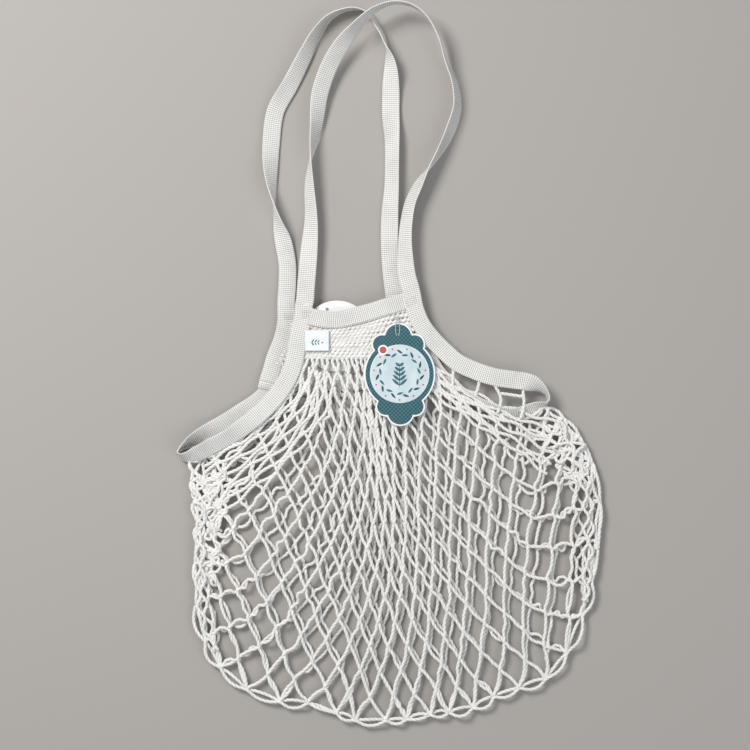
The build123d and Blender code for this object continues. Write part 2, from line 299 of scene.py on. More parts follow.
def bump(tree, shader, height, strength, distance):
    made = node(
        tree, "ShaderNodeBump",
        [("Height", height), ("Strength", strength), ("Distance", distance)],
    )
    tree.links.new(made.outputs[0], shader.inputs["Normal"])


def paint(tree, shader, color):
    tree.links.new(color, shader.inputs["Base Color"])


COTTON = (0.89, 0.88, 0.85)
# Painted shade: the darker colour that the cord takes in the groove between its plies
COTTON_PAINTED_SHADE = (0.70, 0.68, 0.64)


def cord_material():
    made, tree, shader = material(
        "cotton_cord", COTTON, 0.88, Sheen_Weight=0.25, Sheen_Roughness=0.5
    )
    u, v = uv_parts(tree)
    phase = times(tree, math_node(tree, "SUBTRACT", u, v), 4 * math.pi)
    ply = math_node(tree, "MULTIPLY_ADD", math_node(tree, "COSINE", phase), 0.5)
    tree.nodes[-1].inputs[2].default_value = 0.5
    strands = math_node(tree, "SINE", times(tree, phase, 5.0))
    fuzz = noise(tree, 2600.0, 3.0)
    height = plus(tree, ply, times(tree, strands, 0.18))
    height = plus(tree, height, times(tree, fuzz, 0.5))
    bump(tree, shader, height, 0.55, 0.0003)
    # Painted shade: the cord's colour darkens in the groove between its two plies, where shade
    # falls, mixed with a random tone from the noise patch.
    painted_groove_shade = math_node(tree, "SMOOTH_MIN", times(tree, ply, 2.2), 1.0)
    patch = noise(tree, 55.0)
    painted_shade_and_tone = times(tree, painted_groove_shade, plus(tree, patch, 0.45))
    color = mixed(tree, painted_shade_and_tone, COTTON_PAINTED_SHADE, COTTON)
    paint(tree, shader, color)
    return made


def tape_material():
    made, tree, shader = material(
        "cotton_tape", COTTON, 0.86, Sheen_Weight=0.2, Sheen_Roughness=0.5
    )
    u, v = uv_parts(tree)
    columns = math_node(tree, "COSINE", times(tree, u, 2 * math.pi * 8))
    rows = math_node(
        tree, "COSINE", times(tree, v, 2 * math.pi * TAPE_WIDTH / RIB_PITCH)
    )
    weave = plus(tree, times(tree, columns, 0.5), rows)
    fuzz = noise(tree, 3000.0, 3.0)
    height = plus(tree, weave, times(tree, fuzz, 0.7))
    bump(tree, shader, height, 0.5, 0.00022)
    # Painted shade: the tape darkens to a dark grey in the pits of the weave, where shade falls,
    # mixed with a random tone from the noise patch.
    painted_pit_shade = node(
        tree, "ShaderNodeMapRange",
        [("Value", weave), ("From Min", -1.3), ("From Max", 0.25)],
    ).outputs[0]
    patch = noise(tree, 40.0)
    painted_shade_and_tone = times(tree, painted_pit_shade, plus(tree, patch, 0.5))
    color = mixed(tree, painted_shade_and_tone, (0.38, 0.37, 0.35), (0.88, 0.87, 0.84))
    paint(tree, shader, color)
    return made


def thread_material():
    made, tree, shader = material("sewing_thread", (0.88, 0.86, 0.80), 0.7, Sheen_Weight=0.15)
    u, v = uv_parts(tree)
    phase = times(tree, math_node(tree, "SUBTRACT", u, v), 24 * math.pi)
    bump(tree, shader, math_node(tree, "SINE", phase), 0.4, 0.0001)
    color = mixed(tree, noise(tree, 300.0), (0.82, 0.79, 0.72), (0.92, 0.90, 0.84))
    paint(tree, shader, color)
    return made


def paper_material(name, low, high, roughness=0.45, scale=700.0, coat=0.0):
    """Printed card: faint fibre bump and slight mottling between two close colours."""
    made, tree, shader = material(name, high, roughness, Coat_Weight=coat)
    bump(tree, shader, noise(tree, scale, 4.0), 0.12, 0.0002)
    paint(tree, shader, mixed(tree, noise(tree, 90.0, 3.0), low, high))
    return made


def dotted_material():
    """Printed border: rows of small dark lozenges on teal."""
    made, tree, shader = material("tag_border", (0.05, 0.17, 0.20), 0.42)
    place = node(tree, "ShaderNodeTexCoord").outputs["Object"]
    turned = node(
        tree, "ShaderNodeMapping", [("Vector", place), ("Rotation", (0, 0, math.radians(45)))]
    ).outputs[0]
    split = node(tree, "ShaderNodeSeparateXYZ", [(0, turned)])
    waves = [
        math_node(tree, "COSINE", times(tree, axis, 2 * math.pi / (2.5 * MM)))
        for axis in split.outputs[:2]
    ]
    dots = math_node(tree, "GREATER_THAN", plus(tree, *waves), 0.45)
    faded = times(tree, dots, plus(tree, noise(tree, 120.0), 0.45))
    color = mixed(tree, faded, (0.05, 0.165, 0.185), (0.012, 0.040, 0.070))
    paint(tree, shader, color)
    bump(tree, shader, noise(tree, 900.0, 3.0), 0.1, 0.0002)
    return made


def satin_material():
    made, tree, shader = material("satin", (0.84, 0.87, 0.88), 0.32, Sheen_Weight=0.3)
    u, v = uv_parts(tree)
    warp = math_node(tree, "SINE", times(tree, u, 2 * math.pi * 44))
    weft = math_node(tree, "SINE", times(tree, v, 2 * math.pi * 38))
    bump(tree, shader, plus(tree, warp, weft), 0.35, 0.00008)
    color = mixed(tree, noise(tree, 260.0), (0.74, 0.82, 0.86), (0.90, 0.92, 0.92))
    paint(tree, shader, color)
    return made


def nylon_material():
    made, tree, shader = material(
        "nylon", (0.86, 0.88, 0.88), 0.22, Transmission_Weight=0.55, IOR=1.5
    )
    bump(tree, shader, noise(tree, 1500.0), 0.08, 0.0001)
    return made


cotton_cord = cord_material()
cotton_tape = tape_material()
thread = thread_material()
white_card = paper_material("white_card", (0.86, 0.86, 0.84), (0.93, 0.93, 0.92))
tag_rim = paper_material("tag_rim", (0.85, 0.88, 0.88), (0.93, 0.94, 0.94))
tag_centre = paper_material("tag_centre", (0.42, 0.58, 0.63), (0.80, 0.86, 0.87), 0.4, 500.0)
tag_border = dotted_material()
ink_dark = paper_material("ink_dark", (0.035, 0.05, 0.06), (0.06, 0.08, 0.09), 0.5)
ink_teal = paper_material("ink_teal", (0.03, 0.12, 0.15), (0.06, 0.19, 0.22), 0.5)
ink_coral = paper_material("ink_coral", (0.48, 0.07, 0.08), (0.62, 0.11, 0.11), 0.45)
satin = satin_material()
nylon = nylon_material()


# ---------------------------------------------------------------- net lattice

ROWS = 16  # rows of legs
WIDE = 26  # last column of the top row
BIAS = 6  # columns gained at each side below the top row
LAST = WIDE + BIAS

front_top = [(-82, 8), (29, 10)]
front_left = [
    (-82, 8), (-86, -8), (-92, -22), (-101.5, -36), (-114, -49), (-129, -61.5),
    (-146, -73), (-164, -82), (-183, -88),
]
front_right = [
    (29, 10), (40, -6), (54.5, -18.5), (74.2, -28.7), (94.9, -43.2), (115.6, -48), (139, -38),
]
back_top = [(-107, -20), (46, -20)]
back_left = [
    (-107, -20), (-117, -33), (-133, -46), (-150, -60), (-167, -74), (-183, -88),
]
back_right = [
    (46, -20), (56, -26), (68, -32), (82, -40), (100, -46.5), (120, -47.5), (139, -38),
]
left_fold = [(-183, -88), (-181, -105), (-178, -130), (-176, -162), (-179, -193), (-177, -216)]
right_fold = [
    (139, -38), (156, -49), (170, -66), (181, -90), (187, -120), (188, -148), (185.5, -166),
]
# How far down each fold its knots lie, as shares: crowded below the tapes, where the net is heaped
fold_shares = (0.0, 0.13, 0.28, 0.46, 0.71, 1.0)
bottom_fold = [
    (-177, -216), (-169, -250), (-157, -270), (-137, -289), (-114, -299.5), (-83, -305),
    (-56, -313), (-29, -321), (-3.5, -323), (25, -315), (52, -313), (79, -306), (115, -291),
    (138, -284), (152, -266), (164, -244), (174, -217), (181, -190), (185.5, -166),
]


# A knot is (column, row); a leg joins it to the knots one column to each side in the row below
KNOTS = [
    (u, j)
    for j in range(ROWS + 1)
    for u in range(-min(j, BIAS), WIDE + min(j, BIAS) + 1)
    if (u + j) % 2 == 0
]
INDEX = {knot: place for place, knot in enumerate(KNOTS)}
LEGS = [
    (INDEX[knot], INDEX[(knot[0] + side, knot[1] + 1)])
    for knot in KNOTS
    for side in (-1, 1)
    if (knot[0] + side, knot[1] + 1) in INDEX
]
US = np.array([u for u, _ in KNOTS], float)
JS = np.array([j for _, j in KNOTS], float)


def boundary(top, left, right):
    """Fixed places of the knots on the edge of one layer."""
    fixed = {}
    for u, place in zip(range(0, WIDE + 1, 2), even(top, WIDE // 2 + 1)):
        fixed[INDEX[(u, 0)]] = place
    for k, place in enumerate(even(smooth(left, 3.0), BIAS + 1)):
        fixed[INDEX[(-k, k)]] = place
    right_places = right if len(right) == BIAS + 1 else even(smooth(right, 3.0), BIAS + 1)
    for k, place in enumerate(right_places):
        fixed[INDEX[(WIDE + k, k)]] = np.array(place, float)
    down = range(BIAS, ROWS + 1, 2)
    left_places = at_shares(smooth(left_fold, 3.0), fold_shares)
    right_places = at_shares(smooth(right_fold, 3.0), fold_shares)
    for j, a, b in zip(down, left_places, right_places):
        fixed[INDEX[(-BIAS, j)]] = a
        fixed[INDEX[(LAST, j)]] = b
    uneven = np.random.default_rng(77)
    line = smooth(bottom_fold, 1.0)
    steps = lengths_along(line)
    middle = np.array([0.0, -170.0])
    for u in range(-BIAS, LAST + 1, 2):
        t = (u + BIAS) / (LAST + BIAS)
        t = t + 0.035 * math.sin(2 * math.pi * t)
        at = t * steps[-1]
        if 0 < t < 1:
            at += uneven.uniform(-4.0, 4.0)
        here = np.array([np.interp(at, steps, line[:, 0]), np.interp(at, steps, line[:, 1])])
        inward = uneven.uniform(-1.2, 3.4) if 0 < t < 1 else 0
        fixed[INDEX[(u, ROWS)]] = here + unit(middle - here) * inward
    return fixed


PULL_PASSES = 160


def relax(fixed, wander, seed, offset):
    """Places of all knots: even, with the middle columns drawn together, and no leg too long.

    offset gives the shift that a layer takes before its legs are pulled in to their length.
    """
    size = len(KNOTS)
    matrix = np.zeros((size, size))
    target = np.zeros((size, 2))
    for a, b in LEGS:
        u, j = (US[a] + US[b]) / 2, (JS[a] + JS[b]) / 2
        middle = abs(u - 13) / 19
        narrow = 3.6 - 1.5 * ease((12 - j) / 6)
        pull = 1 / (narrow + 12.0 * ease(middle / 0.62) - 9.0 * ease((middle - 0.72) / 0.28))
        goes_right = US[b] > US[a]
        toward_left, toward_right = ease((8 - u) / 13), ease((u - 18) / 13)
        packed = toward_left if goes_right else toward_right
        pull *= 1 + 4.0 * packed * ease(1 - j / 9)
        for p, q in ((a, b), (b, a)):
            matrix[p, p] += pull
            matrix[p, q] -= pull
    for place, point in fixed.items():
        matrix[place] = 0
        matrix[place, place] = 1
        target[place] = point
    points = np.linalg.solve(matrix, target)
    draw = np.random.default_rng(seed)
    free = np.array([place not in fixed for place in range(size)])
    from_sides = np.minimum(US + BIAS, LAST - US) / 4
    calm = ease(np.minimum(from_sides, np.minimum(JS / 3, (ROWS - JS) / 1.6)))
    points[free] += (offset(points) * calm[:, None])[free]
    inside = np.minimum(np.minimum(JS, ROWS - JS) / 4, 1) * wander
    points[free] += (draw.normal(0, 1, (size, 2)) * inside[:, None])[free]
    legs = np.array(LEGS)
    for _ in range(PULL_PASSES):
        gap = points[legs[:, 1]] - points[legs[:, 0]]
        long = np.linalg.norm(gap, axis=1)
        over = np.clip(long - LEG, 0, None) / np.maximum(long, 1e-6)
        shift = gap * (over * 0.45)[:, None]
        moves = np.zeros_like(points)
        weight = np.zeros(size)
        np.add.at(moves, legs[:, 0], shift)
        np.add.at(moves, legs[:, 1], -shift)
        np.add.at(weight, legs[:, 0], over > 0)
        np.add.at(weight, legs[:, 1], over > 0)
        points[free] += (moves / np.maximum(weight, 1)[:, None] * 1.6)[free]
    return points


def heights(is_front, seed):
    """Height of each knot: the layers meet at the folds and part in the middle."""
    draw = np.random.default_rng(seed)
    edge = np.minimum(np.minimum(US + BIAS, LAST - US) / 6, (ROWS - JS) / 4)
    spread = ease(edge)
    top = ease(1 - JS / 7)
    if is_front:
        low = 6.0 + 2.9 * spread
        z = low + (11.3 - low) * top + draw.normal(0, 0.45, len(KNOTS))
        return np.clip(z, 5.4, 11.4)
    z = 5.6 - 3.4 * spread
    z = z + (2.2 - z) * top + draw.normal(0, 0.3, len(KNOTS))
    return np.clip(z, 1.9, 6.4)


def flow(points, knot):
    """Direction in which the meshes run down through a knot."""
    u, j = knot
    here = points[INDEX[knot]]
    below = [points[INDEX[(u + s, j + 1)]] - here for s in (-1, 1) if (u + s, j + 1) in INDEX]
    above = [here - points[INDEX[(u + s, j - 1)]] for s in (-1, 1) if (u + s, j - 1) in INDEX]
    return unit(sum(unit(leg) for leg in below + above))


def slack_of(knot, side, is_front, draw):
    """Spare length shown in one leg: much of it by the two folds, little in the middle."""
    u, j = knot
    by_left = ease(1 - (u + BIAS) / 9) * ease((j - 3) / 3) * ease((14 - j) / 4)
    by_right = ease(1 - (LAST - u) / 6) * ease((j - 3) / 3)
    by_bottom = ease((j - 12) / 3)
    beside = ease((abs(u - 14) - 5) / 8) * ease((j - 3) / 3)
    loose = 0.02 + 0.7 * by_left + 0.5 * by_right + 0.12 * by_bottom
    loose += (0.16 if is_front else 0.5) * beside
    if draw.random() < loose:
        return 1.2 + 4.0 * draw.random() * (0.5 + by_left)
    return 0.22 * draw.random()


def leg_points(a, b, spare, draw, low, high):
    """Two points on the way along a leg, bowed by its spare length."""
    gap = b - a
    long = float(np.linalg.norm(gap))
    if long < 4:
        return [a + gap * 0.5]
    sideways = unit(np.array([-gap[1], gap[0], 0.0]))
    bow = 0.61 * math.sqrt(long * min(spare, max(LEG - 4 - long, 0.1) + 0.3))
    bow *= 1 if draw.random() < 0.5 else -1
    twist = draw.normal(0, 0.35)
    s_shape = -0.6 if draw.random() < 0.3 else 1.0
    made = []
    for t, scale in ((0.3, 1.0), (0.7, s_shape)):
        point = a + gap * t + sideways * bow * scale * 0.9
        point[2] += bow * scale * twist
        point[2] = min(max(point[2], low), high)
        made.append(point)
    return made


def make_layer(points, z, is_front, seed, low, high):
    """Cords of one layer, each drawn from edge to edge of the net."""
    draw = np.random.default_rng(seed)
    full = np.column_stack([points, z])
    skin = Skin()
    for family in (1, -1):
        for start in KNOTS:
            above = (start[0] - family, start[1] - 1)
            below = (start[0] + family, start[1] + 1)
            if above in INDEX or below not in INDEX:
                continue
            knot, path, before = start, [], None
            while True:
                here = full[INDEX[knot]]
                down = flow(points, knot)
                down3 = np.array([*down, 0.0])
                side3 = np.array([-down[1], down[0], 0.0])
                hop = 0.75 * family * (1 if (knot[0] + 2 * knot[1]) % 4 < 2 else -1)
                enter = here - 2.6 * down3 - 1.15 * family * side3 + (0, 0, 0.4 * hop)
                leave = here + 2.6 * down3 + 1.15 * family * side3 - (0, 0, 0.4 * hop)
                following = (knot[0] + family, knot[1] + 1)
                has_next = following in INDEX
                if before is None and knot[1] == 0:
                    apart = here + (family * 2.25, 0, 0)
                    path += [apart - 3.5 * down3, apart + 4.0 * down3]
                    before = path[-1]
                    knot = following
                    continue
                if before is None:
                    path.append(here)
                else:
                    spare = slack_of(knot, family, is_front, draw)
                    path += leg_points(before, enter, spare, draw, low, high)
                    path.append(enter)
                    if has_next:
                        path.append(here + (0, 0, hop))
                    else:
                        path.append(here)
                if not has_next:
                    break
                path.append(leave)
                before = leave
                knot = following
            path = np.array(path)
            keep = np.concatenate([[True], np.linalg.norm(np.diff(path, axis=0), axis=1) > 0.3])
            skin.tube(smooth(path[keep], 1.2), start=draw.random() * PLY_PITCH)
    return skin


def strand(skin, stations, order, seed, part=1.6, pitch=40.0):
    """One long cord beside its neighbours, touching one and then the other, as shut meshes do."""
    draw = np.random.default_rng(seed)
    path = smooth(stations, 4.0)
    ahead = np.gradient(path, axis=0)
    ahead /= np.linalg.norm(ahead, axis=1)[:, None]
    along = np.arange(len(path)) * 4.0
    off = part * np.sin(2 * math.pi * along / pitch + math.pi * order + draw.normal(0, 0.25))
    path[:, 0] -= ahead[:, 1] * off
    path[:, 1] += ahead[:, 0] * off
    skin.tube(smooth(path, 1.2), start=draw.random() * PLY_PITCH)


front_fixed = boundary(front_top, front_left, front_right)
back_fixed = boundary(back_top, back_left, back_right)


def between_meshes(points):
    """Shift that puts each knot of the back layer midway between two knots of the front layer."""
    shift = np.zeros_like(points)
    for place, (u, j) in enumerate(KNOTS):
        here = front_points[place]
        if (u + 2, j) in INDEX:
            half = (front_points[INDEX[(u + 2, j)]] - here) / 2
        else:
            half = (here - front_points[INDEX[(u - 2, j)]]) / 2
        shift[place] = here + half - points[place]
    return shift


front_points = relax(front_fixed, 0.9, 21, np.zeros_like)
back_points = relax(back_fixed, 2.3, 22, between_meshes)
front_z = heights(True, 31)
back_z = heights(False, 32)
for shared in front_fixed:
    if JS[shared] >= BIAS and (US[shared] in (-BIAS, LAST) or JS[shared] == ROWS):
        front_z[shared] = back_z[shared] = 6.0

front_skin = make_layer(front_points, front_z, True, 41, 4.6, 11.4)
back_skin = make_layer(back_points, back_z, False, 42, 1.5, 6.8)

# Single cords from the right front tape down to the net's edge
ties = [
    ((54.5, -18.5), (54.8, -9.0), (55.5, 0.5)),
    ((74.2, -28.7), (77.5, -19.0), (78.8, -10.0)),
    ((94.9, -43.2), (97.8, -30.0), (92.0, -17.0)),
    ((115.6, -48.0), (118.5, -36.0), (117.6, -21.5)),
    ((97.6, -25.0), (108.0, -26.5), (118.2, -28.0)),
]
for points in ties:
    rise = [11.4, 11.8, 12.4]
    front_skin.tube(smooth([(x, y, z) for (x, y), z in zip(points, rise)], 1.2))

# Meshes pulled shut beside the two side tapes, seen as cords that run side by side
for k in range(8):
    step = np.array([4.3 * k, -2.6 * k])
    stations = [
        (*(np.array([-80.5, 2]) + step * (0.75, 0.6)), 11.6),
        (*(np.array([-89, -22]) + step * (0.95, 1.0)), 11.2),
        (*(np.array([-108, -46]) + step * (0.95, 1.3)), 10.6 - 0.1 * k),
        (*(np.array([-128, -63]) + step * (0.8, 1.7)), 9.8 - 0.2 * k),
        (*(np.array([-150, -78]) + step * (0.5, 2.2)), 8.8 - 0.2 * k),
        (*(np.array([-170, -90]) + step * (0.25, 2.8)), 6.0),
    ]
    strand(front_skin, stations, k, 70 + k)
for k in range(6):
    step = np.array([1.5 * k, 4.0 * k])
    stations = [
        (*(np.array([29, -18]) + step * (0.6, 1.1)), 11.0),
        (*(np.array([55, -38]) + step), 10.6 - 0.1 * k),
        (*(np.array([84, -58]) + step * (1.2, 1.2)), 9.8),
        (*(np.array([112, -76]) + step * (1.6, 1.6)), 9.0),
        (*(np.array([140, -98]) + step * (2.2, 2.2)), 6.4),
    ]
    strand(front_skin, stations, k, 80 + k, 1.5, 34.0)

net_front = front_skin.build("net_front", cotton_cord)
net_back = back_skin.build("net_back", cotton_cord)


# ---------------------------------------------------------------- bunched cords at the side folds


def heap(skin, outer, inner, columns, rows, seed, low=2.4, high=10.8, scatter=1.5):
    """Meshes of slack net crowded between two lines, each cord zigzagging from top to bottom."""
    draw = np.random.default_rng(seed)
    outer, inner = even(smooth(outer, 2.0), rows + 1), even(smooth(inner, 2.0), rows + 1)
    share = np.linspace(0, 1, columns + 1)[:, None, None]
    shape = (columns + 1, rows + 1)
    places = outer * (1 - share) + inner * share + draw.normal(0, scatter, (*shape, 2))
    levels = draw.uniform(low, high, shape)
    knots = np.dstack([places, levels])
    for first in range(columns + 1):
        for way in (1, -1):
            column = first
            path = [knots[column, 0] * (1, 1, 0) + (0, 0, low)]
            for row in range(1, rows + 1):
                if not 0 <= column + way <= columns:
                    way = -way
                column += way
                here = knots[column, row]
                spare = max(LEG - 3 - float(np.linalg.norm(here - path[-1])), 0.5)
                spare *= 0.45 + 0.5 * draw.random()
                path += leg_points(path[-1], here, spare, draw, low, high)
                path.append(here)
            path[-1] = path[-1] * (1, 1, 0) + (0, 0, low)
            skin.tube(smooth(path, 1.2), start=draw.random() * PLY_PITCH)


def shut_meshes(skin, line, inward, count, seed, spacing=4.4, pitch=23.0):
    """Cords side by side along a fold, gathered at its ends; inward is +1 for left of the line."""
    run = smooth(line, 4.0)
    ahead = np.gradient(run, axis=0)
    ahead /= np.linalg.norm(ahead, axis=1)[:, None]
    side = inward * np.column_stack([-ahead[:, 1], ahead[:, 0]])
    draw = np.random.default_rng(seed)
    share = np.linspace(0, 1, len(run))
    apart = ease(5 * np.minimum(share, 1 - share))[:, None]
    for k in range(count):
        places = run + side * (1.5 + spacing * k * apart)
        level = 4.0 + 5.0 * draw.random() + np.cumsum(draw.normal(0, 0.5, len(run)))
        stations = np.column_stack([places, np.clip(level, 2.6, 10.2)])
        strand(skin, stations, k, seed + 10 + k, 0.55 * spacing, pitch)


fold_skin = Skin()
heap(
    fold_skin, [(-182, -90), (-180, -108), (-176, -132), (-173, -154)],
    [(-156, -84), (-148, -102), (-145, -122), (-150, -148)], 3, 5, 51, scatter=3.0,
)
heap(
    fold_skin, [(-176, -98), (-173, -120), (-170, -142)],
    [(-160, -96), (-156, -118), (-154, -140)], 1, 3, 56, scatter=2.0,
)
heap(
    fold_skin, [(-173, -152), (-174, -176), (-172, -200)],
    [(-152, -150), (-156, -174), (-159, -198)], 2, 4, 52, scatter=2.6,
)
shut_meshes(
    fold_skin, [(-176, -150), (-176, -176), (-176, -202), (-171, -232), (-160, -258)], 1, 3, 57,
)
heap(
    fold_skin, [(148, -46), (162, -60), (174, -86), (180, -110)],
    [(122, -54), (138, -74), (154, -94), (164, -110)], 2, 6, 53, scatter=2.4,
)
shut_meshes(
    fold_skin,
    [(150, -49), (167, -66), (179, -92), (184, -120), (185, -150), (183, -180), (175.5, -213)],
    -1, 5, 58,
)


def rim(skin, knots, outward, bulge, seed, z=6.0):
    """Cord from fold knot to fold knot, bowed out a little between them."""
    draw = np.random.default_rng(seed)
    path = [(*knots[0], z)]
    for a, b in zip(knots, knots[1:]):
        heading = unit(b - a)
        out = outward * np.array([heading[1], -heading[0]])
        gap = np.linalg.norm(b - a)
        depth = bulge * (0.25 + 1.3 * draw.random())
        for t in (0.12, 0.32, 0.68, 0.88):
            place = a + (b - a) * t + out * depth * math.sin(math.pi * t)
            path.append((*place, z + draw.normal(0, 0.8)))
        path.append((*(b + out * 0.4), z + draw.normal(0, 0.5)))
    skin.tube(smooth(path, 1.2), start=draw.random() * PLY_PITCH)


side_rows = range(BIAS, ROWS + 1, 2)
left_knots = [front_points[INDEX[(-BIAS, j)]] for j in side_rows]
right_knots = [front_points[INDEX[(LAST, j)]] for j in side_rows]
bottom_knots = [front_points[INDEX[(u, ROWS)]] for u in range(-BIAS, LAST + 1, 2)]
rim(fold_skin, left_knots, -1, 2.6, 61)
rim(fold_skin, right_knots, 1, 2.6, 62)
rim(fold_skin, right_knots, -1, 3.2, 63, 5.0)
rim(fold_skin, bottom_knots, 1, 4.0, 64)
rim(fold_skin, bottom_knots, -1, 1.6, 65, 4.2)
net_fold = fold_skin.build("net_fold", cotton_cord)


# ---------------------------------------------------------------- knit below the mouth

front_mouth_line = [
    (-80, 45), (-71, 43.4), (-62.5, 41.4), (-51.5, 40.6), (-38.5, 43), (-18, 48.4),
    (-2.5, 53.6), (10, 57.3), (18.5, 59.5),
]
back_mouth_line = [
    (-95.5, 45), (-80, 41.5), (-60, 41), (-40, 44), (-20, 48.5), (-6, 53), (4.5, 57),
]


def knit_piece(name, mouth, left, right, bottom, courses, z, flip):
    """Courses of small slanted stitches between the mouth tape and the net."""
    skin = Skin()
    mouth_run = smooth(mouth, 2.0)
    left, right = np.array(left, float), np.array(right, float)
    for course in range(courses):
        share = course / (courses - 1)
        level = 44 + (bottom - 44) * share
        first = np.interp(level, left[:, 1], left[:, 0])
        last = np.interp(level, right[:, 1], right[:, 0])
        x = np.arange(first, last, 0.62)
        top = np.interp(x, mouth_run[:, 0], mouth_run[:, 1]) - 3.0
        y = top + (bottom - top) * share
        phase = 2 * math.pi * x / 4.3 + (course % 2) * math.pi + 0.3 * math.sin(course * 1.7)
        y = y + 1.15 * np.arcsin(0.92 * np.sin(phase)) / 1.2 + 0.3 * np.sin(x / 6.0 + 1.3 * course)
        lift = z + 0.45 * np.cos(phase) * flip + 0.3 * np.sin(x / 7.0 + course)
        skin.tube(np.column_stack([x, y, lift]), radius=1.95, sides=7, step=0.8, ply=0.06)
    return skin.build(name, cotton_cord)


knit_front = knit_piece(
    "knit_front", front_mouth_line,
    [(-84, 0), (-80.5, 8), (-77.5, 26), (-73, 44)], [(31, 0), (30.5, 28), (17, 50)],
    FRONT_KNIT_BOTTOM_Y, 11, 11.2, 1,
)
knit_back = knit_piece(
    "knit_back", back_mouth_line,
    [(-112, -20), (-103, 8), (-95, 26), (-91, 44)],
    [(52, -20), (38, -6), (28, 12), (14, 32), (4, 50)],
    BACK_KNIT_BOTTOM_Y, 18, 2.3, -1,
)


# ---------------------------------------------------------------- tapes

left_front_line = [
    (-79, 55.4), (-80, 43), (-84, 26.5), (-87, 8), (-90.5, -5), (-97, -17.5),
    (-106.5, -30.4), (-119, -43.2),
]
right_front_line = [
    (17.7, 64.4), (20.5, 51), (26, 37.5), (36.5, 23.5), (49, 11), (57, 4),
    (74, -4.5), (92, -10.3), (110, -13.0), (120, -14.4),
]
left_back_line = [(-108.5, -4), (-106, 5), (-98, 26.5), (-95.5, 40), (-95.4, 53.8)]
left_lap_upper = [(-113.2, -21.4, 5.4, 180), (-111.5, -14, 5.0, 180)]
left_lap_lower = [
    (-135.5, -41.8, BACK_TAPE_Z, 180), (-121.5, -32.6, BACK_TAPE_Z, 180),
    (-114.0, -25.5, 3.7, 180), (-109.6, -12.5, 3.5, 180),
]
right_back_line = [(29.5, 12), (16, 32), (6.5, 48), (2.2, 62.8)]
left_fold_front = [
    (-148.5, -65.4, 13.2, 28), (-163, -73.0, 12.6, 26), (-174.5, -79, 12.0, 30),
    (-184, -82.8, 10.6, 50), (-190.6, -81.6, 9.2, 74), (-192.8, -77.8, 8.8, 90),
]
left_fold_back = [
    (-192.8, -77.8, 8.8, 90), (-190, -74.2, 8.8, 96), (-184, -70.0, 8.4, 118),
    (-175, -64.6, 7.2, 140), (-164, -58.8, 5.6, 160), (-151.4, -52.0, 4.4, 174),
]
right_fold_front = [
    (131, -18.9, 12.6, 134), (136.8, -23.6, 10.8, 108), (140.2, -28.2, 9.2, 94),
    (140.8, -30.6, 8.8, 90),
]
right_fold_back = [
    (140.8, -30.6, 8.8, 90), (139.8, -33, 8.8, 84), (135.5, -35.6, 8.4, 62), (129, -38.6, 7.8, 42),
    (121, -41.6, 7.2, 36), (112, -44.0, 7.0, 42),
]
front_handle_line = [
    (-79.0, 54.6, FRONT_TAPE_Z, 0), (-78.3, 57.6, FRONT_TAPE_Z, 0), (-77.5, 68, 13.3, 0),
    (-75, 99, 9.5, 10), (-73, 130, 7.5, 40), (-74.5, 168, 8.8, 63), (-73.5, 185, 9.4, 85),
    (-68.5, 215, 9.2, 130), (-64, 248, 10.5, 158), (-58.5, 264, 12.5, 158),
    (-47, 285, 16.5, 148), (-33.5, 301, 21.5, 125), (-14.5, 318, 25.4, 100),
    (2.5, 323.6, 25.4, 90), (16, 321.8, 24.5, 88), (29.5, 313.5, 22, 85),
    (40.5, 296.5, 18, 85), (48.5, 273, 13, 80), (56.5, 252.5, 9.8, 70),
    (58.5, 235, 9, 65), (52, 212, 8.8, 62), (42.5, 193, 9.1, 75),
    (34, 179.5, 9.4, 90), (23.5, 162.5, 8.8, 120), (16.5, 147, 8.8, 127),
    (13, 130, 9.4, 132), (11.8, 102, 11, 145), (13.2, 82, 12.8, 172),
    (16.8, 68.2, FRONT_TAPE_Z, 180), (17.9, 63.4, FRONT_TAPE_Z, 180),
]
back_handle_line = [
    (-95.4, 52.8, BACK_TAPE_Z, 0), (-95.4, 56, BACK_TAPE_Z, 0), (-94.5, 72.5, 2.8, 0),
    (-94.5, 92, 1.8, 0), (-98, 111, 3.4, 14), (-103.5, 132, 8.4, 66), (-106, 143.5, 9, 85),
    (-109, 168, 7.8, 128), (-109, 200, 3.8, 163), (-104.5, 231, 3.6, 165),
    (-92, 253, 5, 154), (-78.5, 279, 7, 140), (-67.5, 300, 8.2, 118),
    (-57.5, 313, 8.9, 100), (-47, 319, 9, 90), (-33.5, 321.4, 8.9, 86),
    (-21.5, 318, 8.5, 76), (-14.5, 308, 8.4, 74), (-9, 298.5, 8.5, 76),
    (-5.5, 288.5, 8.8, 84), (-2, 275, 8, 120), (-1, 250, 3.2, 166),
    (-1, 226, 2.6, 172), (0, 206, 5.2, 148), (0, 185, 5.6, 143),
    (-0.5, 159, 5.4, 146), (-1.8, 140, 4.2, 160), (-2, 111, 1.8, 178),
    (-0.5, 85, 2.2, 180), (2, 64.8, BACK_TAPE_Z, 180), (2.4, 61.8, BACK_TAPE_Z, 180),
]


def tape_piece(name, stations, **shape):
    skin = Skin()
    ribbon(skin, stations, **shape)
    return skin.build(name, cotton_tape)


